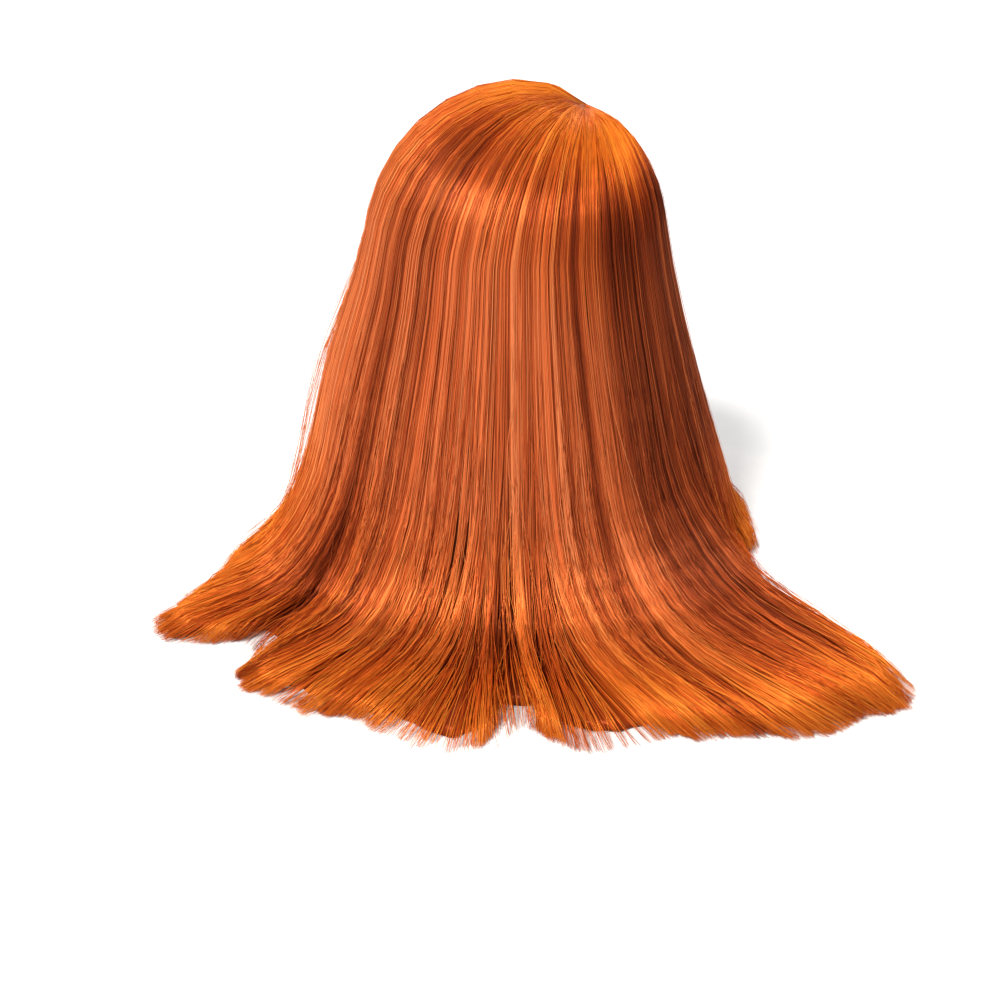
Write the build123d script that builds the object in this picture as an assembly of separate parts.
"""Mannequin training head: a soft vinyl head on a foam core, with a clamp socket in its neck and long rooted hair.

Millimetres. +Z is up and the face looks towards -Y. The origin is the mouth of the clamp socket, at the centre
of the flat base that the head stands on. Compass angles in this file are plan angles: 0 is the back of the
head (+Y), 90 its right side (-X), -90 its left side (+X), and 180 the face.
"""

import math
import os

from build123d import *

# ---- Head form -------------------------------------------------------------------------------------------
WALL = 4.0
CORE_GAP = 0.3

# Levels of the head from the chin up to the crown, and of the neck: height, half width, front, back.
HEAD_LEVELS = [
    (64.0, 20.0, -86.0, -44.0),
    (76.0, 37.0, -94.0, -12.0),
    (102.0, 53.0, -95.0, 32.0),
    (134.0, 63.0, -95.0, 62.0),
    (166.0, 70.0, -95.0, 82.0),
    (198.0, 74.0, -96.0, 88.0),
    (228.0, 71.0, -90.0, 83.0),
    (252.0, 60.0, -75.0, 68.0),
    (270.0, 43.0, -53.0, 46.0),
    (281.0, 23.0, -29.0, 21.0),
    (285.0, 7.0, -12.0, 4.0),
]
NECK_LEVELS = [
    (0.0, 60.0, -56.0, 62.0),
    (30.0, 53.5, -49.0, 57.0),
    (75.0, 51.0, -47.0, 55.0),
    (125.0, 52.0, -50.0, 56.0),
]
EAR_PLACE = (69.5, 12.0, 158.0)
EAR_HALF = (6.5, 15.5, 30.0)

# ---- Eyes, lashes and brows ------------------------------------------------------------------------------
EYE_SPACING = 62.0
EYE_HEIGHT = 175.0
EYE_DEPTH = -75.0
EYE_RADIUS = 12.0
EYE_GAP = 0.2
LID_THICKNESS = 1.5
LID_OPENING = (10.5, 5.0)
LASH_WIDTH = 22.0
LASH_REACH = 7.0
LASH_THICKNESS = 0.8
BROW_HEIGHT = 196.0
BROW_THICKNESS = 1.2

# ---- Neck base -------------------------------------------------------------------------------------------
PLATE_THICKNESS = 8.0
BLOCK_THICKNESS = 14.0
SEAT_GAP = 0.2
SOCKET_BORE_RADIUS = 9.75
SOCKET_WALL = 3.0
SOCKET_DEPTH = 72.0
SOCKET_END = 3.0
FLANGE_RADIUS = 22.0
FLANGE_THICKNESS = 3.0
FLANGE_GAP = 0.3
SCREW_COUNT = 4
SCREW_CIRCLE_RADIUS = 36.0
SCREW_RADIUS = 2.0
SCREW_HEAD_RADIUS = 4.2
SCREW_HEAD_HEIGHT = 2.6
SCREW_LENGTH = 19.0
SCREW_GAP = 0.08

# ---- Hair ------------------------------------------------------------------------------------------------
HAIR_DEPTH = 13.0
WHORL = (-36.0, -14.0)
WHORL_RADIUS = 1.5
SECTION_GAP = 0.4
EAR_GAP = 0.6
NAPE_DEPTH = 8.0
FACE_GAP_WIDTH = 124.0

# The curtain of hair below the skull, its hollow, and the fan that its ends spread into on the table. Each level
# is its height, middle in x, half width, front and back. They start below the table and are cut off at its top.
CURTAIN_OUTSIDE = [
    (-12.0, -6.0, 162.0, -153.0, 168.0),
    (20.0, -6.0, 150.0, -143.0, 158.0),
    (42.0, -6.0, 140.0, -134.0, 149.0),
    (70.0, -6.0, 130.0, -125.0, 140.0),
    (110.0, -5.0, 119.0, -119.0, 129.0),
    (150.0, -3.0, 108.0, -114.0, 118.0),
]
CURTAIN_INSIDE = [
    (-15.0, -6.0, 138.0, -130.0, 144.0),
    (20.0, -6.0, 127.0, -120.0, 135.0),
    (60.0, -6.0, 115.0, -109.0, 123.0),
    (110.0, -4.0, 101.0, -102.0, 110.0),
    (136.0, -2.0, 90.0, -101.0, 101.0),
    (172.0, 0.0, 44.0, -52.0, 46.0),
]
FAN_OUTSIDE = [
    (-9.0, -34.0, 226.0, -72.0, 250.0),
    (8.0, -33.0, 216.0, -64.0, 240.0),
    (20.0, -22.0, 176.0, -34.0, 204.0),
    (34.0, -12.0, 138.0, -6.0, 168.0),
    (56.0, -7.0, 96.0, 10.0, 118.0),
]
NAPE_OUTSIDE = [
    (0.0, 0.0, 106.0, -96.0, 118.0),
    (30.0, 0.0, 93.0, -86.0, 106.0),
    (80.0, 0.0, 82.0, -78.0, 92.0),
    (122.0, 0.0, 72.0, -70.0, 79.0),
    (148.0, 0.0, 70.0, -69.0, 75.0),
]

# Where the sections of hair meet, as plan angles about the whorl. The first is the parting.
SECTION_BREAKS = [-180, -100, -76, -52, -28, -4, 20, 46, 76, 120]
SECTION_NAMES = [
    "hair_front_left",
    "hair_side_left",
    "hair_behind_ear_left",
    "hair_back_left",
    "hair_back_centre_left",
    "hair_back_centre_right",
    "hair_back_right",
    "hair_behind_ear_right",
    "hair_side_right",
    "hair_front_right",
]
NAPE_BREAKS = [-100, -34, 34, 100]
NAPE_NAMES = ["nape_hair_left", "nape_hair_centre", "nape_hair_right"]


def ellipsoid(centre, half):
    """A solid ellipsoid with its half sizes along X, Y and Z."""
    return Pos(*centre) * scale(Sphere(1.0), by=tuple(half))


def both_sides(shape):
    """A shape on the head's left, with its mirror image on the right."""
    return shape, mirror(shape, about=Plane.YZ)


def oval(height, half_width, front, back, middle=0.0):
    """A level elliptical face that runs from y = front to y = back."""
    return Pos(middle, (front + back) / 2, height) * Ellipse(half_width, (back - front) / 2)


# ---- Head ------------------------------------------------------------------------------------------------
def stretch(height, inset):
    """A head level's height once the form is taken in, so that the crown and chin move in with the sides."""
    bottom, top = HEAD_LEVELS[0][0], HEAD_LEVELS[-1][0]
    share = (height - bottom) / (top - bottom)
    return height + inset * (1 - 2 * share)


def head_form(inset):
    """The whole head and neck, taken in by a wall's thickness. A negative inset stands proud of the skin."""
    head = loft([oval(stretch(z, inset), a - inset, f + inset, b - inset) for z, a, f, b in HEAD_LEVELS])
    neck = loft([oval(z, a - inset, f + inset, b - inset) for z, a, f, b in NECK_LEVELS])
    return head + neck


def nose():
    """The nose as a wedge that widens down to its tip, with its root sunk in the face."""
    levels = [(127.0, 13.0, -109.0), (133.0, 13.5, -116.0), (152.0, 8.5, -108.0), (174.0, 6.0, -98.0)]
    return loft([oval(z, a, tip, -80.0) for z, a, tip in levels])


def lips():
    """Both lips as one low ellipsoid each, upper above lower."""
    upper = ellipsoid((0.0, -93.0, 110.0), (23.0, 6.0, 4.2))
    lower = ellipsoid((0.0, -92.5, 103.0), (20.0, 7.0, 4.8))
    return upper + lower


def ear(grown):
    """The left ear, flat against the head and leaning back. grown adds a margin all round."""
    blade = scale(Sphere(1.0), by=tuple(half + grown for half in EAR_HALF))
    return Pos(*EAR_PLACE) * Rot(X=-10) * blade


def eye_place(x_sign):
    return Pos(x_sign * EYE_SPACING / 2, EYE_DEPTH, EYE_HEIGHT)


def eye_cup(x_sign, grown):
    """The outside of the vinyl cup that holds an eye. Its front is the eyelids."""
    return eye_place(x_sign) * Rot(Z=90) * Sphere(EYE_RADIUS + EYE_GAP + LID_THICKNESS + grown)


def eye_space(x_sign):
    """The hollow of the cup and the almond opening between the lids."""
    opening = Rot(X=90) * extrude(Ellipse(*LID_OPENING), 2 * EYE_RADIUS)
    return eye_place(x_sign) * (Sphere(EYE_RADIUS + EYE_GAP) + opening)


def head_skin(outside, hollow):
    """The hollow vinyl skin: the head form with its features, and a cup behind each eye opening."""
    skin = outside + nose() + lips()
    for one_ear in both_sides(ear(0.0)):
        skin += one_ear
    skin -= hollow
    for side in (1, -1):
        skin += eye_cup(side, 0.0)
    for side in (1, -1):
        skin -= eye_space(side)
    return skin


def eyeball(x_sign):
    """An acrylic eye: a sphere cut flat at the back."""
    back = Pos(0, EYE_RADIUS * 1.5, 0) * Box(3 * EYE_RADIUS, 2 * EYE_RADIUS, 3 * EYE_RADIUS)
    return eye_place(x_sign) * (Sphere(EYE_RADIUS) - back)


def lashes(x_sign, on_skin):
    """The space an upper lash strip and its hairs take: a thin crescent just above the lid's opening."""
    lid = EYE_RADIUS + EYE_GAP + LID_THICKNESS
    level = LID_OPENING[1] + 0.4 + LASH_THICKNESS / 2
    strip = Pos(0, -lid, level) * Box(LASH_WIDTH, 2 * lid, LASH_THICKNESS)
    crescent = (Sphere(lid + LASH_REACH) - Sphere(lid + SEAT_GAP)) & strip
    return eye_place(x_sign) * crescent - on_skin


def brow(x_sign, under, over):
    """A brow of short rooted hair, lying on the skin between the forms under and over it."""
    arch = make_face(
        Polyline((14, -4), (14, 2), (26, 5.5), (40, 5), (49, -1), (40, 1.5), (26, -0.5), (14, -4))
    )
    outline = Pos(0, 0, BROW_HEIGHT) * Rot(X=90) * extrude(arch, 200.0)
    patch = (over - under) & outline
    return patch if x_sign > 0 else mirror(patch, about=Plane.YZ)


# ---- Neck base -------------------------------------------------------------------------------------------
def slab(bottom, top):
    return Pos(0, 0, (bottom + top) / 2) * Box(700, 700, top - bottom)


def screw_places():
    return [
        Pos(*(SCREW_CIRCLE_RADIUS * c for c in (math.cos(turn), math.sin(turn))), 0)
        for turn in (math.radians(45 + 360 * n / SCREW_COUNT) for n in range(SCREW_COUNT))
    ]


def upright(radius, bottom, top):
    """A vertical cylinder from one height to another."""
    return Pos(0, 0, (bottom + top) / 2) * Cylinder(radius, top - bottom)


def clamp_socket():
    """The moulded tube that takes a holder's spigot: a flange flush with the base and a closed end."""
    tube = upright(SOCKET_BORE_RADIUS + SOCKET_WALL, 0, SOCKET_DEPTH + SOCKET_END)
    flange = upright(FLANGE_RADIUS, 0, FLANGE_THICKNESS)
    return tube + flange - upright(SOCKET_BORE_RADIUS, 0, SOCKET_DEPTH)


def socket_space():
    """What the socket takes out of the plate, the block and the core."""
    tube = upright(SOCKET_BORE_RADIUS + SOCKET_WALL + SEAT_GAP, 0, SOCKET_DEPTH + SOCKET_END + SEAT_GAP)
    return tube + upright(FLANGE_RADIUS + FLANGE_GAP, 0, FLANGE_THICKNESS + SEAT_GAP)


def screw(gap):
    """One countersunk screw, grown by gap for the hole that it goes in."""
    head = Pos(0, 0, SCREW_HEAD_HEIGHT / 2) * Cone(
        SCREW_HEAD_RADIUS + gap, SCREW_RADIUS + gap, SCREW_HEAD_HEIGHT
    )
    return head + upright(SCREW_RADIUS + gap, SCREW_HEAD_HEIGHT, SCREW_LENGTH + gap)


def neck_base(inside):
    """The plate that closes the neck and the block above it, bored for the socket and the screws."""
    block_bottom = PLATE_THICKNESS + SEAT_GAP
    plate = inside & slab(0, PLATE_THICKNESS)
    block = inside & slab(block_bottom, block_bottom + BLOCK_THICKNESS)
    holes = [place * screw(SCREW_GAP) for place in screw_places()]
    plate = plate - socket_space() - holes
    block = block - socket_space() - holes
    return plate, block


def foam_core(inside):
    """Rigid foam that fills the head above the block, around the socket and behind the eyes."""
    bottom = PLATE_THICKNESS + BLOCK_THICKNESS + 2 * SEAT_GAP
    core = inside & slab(bottom, 400)
    return core - [socket_space(), eye_cup(1, CORE_GAP), eye_cup(-1, CORE_GAP)]


# ---- Hair ------------------------------------------------------------------------------------------------
def tent(levels):
    """A loft through level ovals, each given as its height, middle in x, half width, front and back.

    Each oval is drawn from its front, so that the loft's seam falls in the face opening.
    """
    rings = [
        Pos(middle, (front + back) / 2, z) * Rot(Z=-90) * Ellipse((back - front) / 2, a)
        for z, middle, a, front, back in levels
    ]
    return loft(rings)


def hair_outside():
    """The outside of all the hair: the curtain below, and the skull grown by the hair's depth above."""
    cap = [
        (z + HAIR_DEPTH * (z - 150.0) / (HEAD_LEVELS[-1][0] - 150.0), 0.0, a + HAIR_DEPTH, f - HAIR_DEPTH,
         b + HAIR_DEPTH)
        for z, a, f, b in HEAD_LEVELS
        if z > 190.0
    ]
    return tent(CURTAIN_OUTSIDE + cap)


def face_opening():
    """The gap the face looks out of: an arch that peaks at the parting and runs down to the table."""
    half = FACE_GAP_WIDTH / 2
    arch = Spline((-74, 150), (-66, 208), (WHORL[0], 251), (24, 240), (66, 205), (75, 150))
    sides = Polyline((75, 150), (72, 60), (half, -1), (-half, -1), (-72, 60), (-74, 150))
    return Pos(0, -22, 0) * Rot(X=90) * extrude(make_face(arch + sides), 300)


def radial_cuts(angles, centre):
    """Thin upright sheets that part the hair along plan angles from a centre."""
    sheets = []
    for angle in angles:
        sheet = Pos(0, 300, 150) * Box(SECTION_GAP, 600, 400)
        sheets.append(Pos(centre[0], centre[1], 0) * Rot(Z=angle) * sheet)
    return sheets


def plan_angle(solid, centre):
    """A solid's plan angle about a centre, from its centre of mass."""
    middle = solid.center(CenterOf.MASS)
    return math.degrees(math.atan2(-(middle.X - centre[0]), middle.Y - centre[1]))


def sort_by_angle(solids, centre, breaks, names):
    """Each section's solids, by the plan angle of their middles."""
    named = {name: [] for name in names}
    for solid in solids:
        angle = plan_angle(solid, centre)
        name = [n for n, start in zip(names, breaks) if angle >= start][-1]
        named[name].append(solid)
    return named


def hair_sections(root_form):
    """The rooted hair above the nape, one solid for each section."""
    hair = hair_outside() + tent(FAN_OUTSIDE)
    hair = (hair - tent(CURTAIN_INSIDE) - root_form) & slab(0, 400)
    for one_ear in both_sides(ear(EAR_GAP)):
        hair -= one_ear
    bare_spot = Pos(WHORL[0], WHORL[1], 300) * Cylinder(WHORL_RADIUS, 200)
    hair = hair - face_opening() - bare_spot
    hair -= radial_cuts(SECTION_BREAKS, WHORL)
    return sort_by_angle(hair.solids(), WHORL, SECTION_BREAKS, SECTION_NAMES)


def nape_sections(root_form):
    """The short under-layer that is rooted on the head above the neck and hangs inside the curtain."""
    inside = [(z, m, a - NAPE_DEPTH, f + NAPE_DEPTH, b - NAPE_DEPTH) for z, m, a, f, b in NAPE_OUTSIDE]
    fringe = tent(NAPE_OUTSIDE) - tent(inside) - root_form
    for one_ear in both_sides(ear(EAR_GAP)):
        fringe -= one_ear
    fringe -= Pos(0, -200, 100) * Box(400, 400, 400)
    fringe -= radial_cuts(NAPE_BREAKS[1:-1], (0, 0))
    return sort_by_angle(fringe.solids(), (0, 0), NAPE_BREAKS, NAPE_NAMES)


# ---- Assembly --------------------------------------------------------------------------------------------
def build():
    """Every piece of the head, by the name of its node."""
    outside = head_form(0.0)
    hollow = head_form(WALL)
    inside = head_form(WALL + CORE_GAP)
    plate, block = neck_base(inside)
    over_skin = head_form(-BROW_THICKNESS)
    on_skin = head_form(-SEAT_GAP)
    pieces = {
        "head_skin": head_skin(outside, hollow),
        "foam_core": foam_core(inside),
        "base_plate": plate,
        "neck_block": block,
        "clamp_socket": clamp_socket(),
        "base_screws": Compound(
            children=[place * screw(0.0) for place in screw_places()]
        ),
        "eye_left": eyeball(1),
        "eye_right": eyeball(-1),
        "lashes_left": lashes(1, on_skin),
        "lashes_right": lashes(-1, on_skin),
        "brow_left": brow(1, on_skin, over_skin),
        "brow_right": brow(-1, on_skin, over_skin),
    }
    for sections in (hair_sections(on_skin), nape_sections(on_skin)):
        for name, solids in sections.items():
            pieces[name] = Compound(children=solids)
    return pieces


os.makedirs("parts", exist_ok=True)
for node_name, piece in build().items():
    export_step(piece, f"parts/{node_name}.step")
    print(node_name, len(piece.solids()), round(piece.volume / 1000, 1), "cm3")
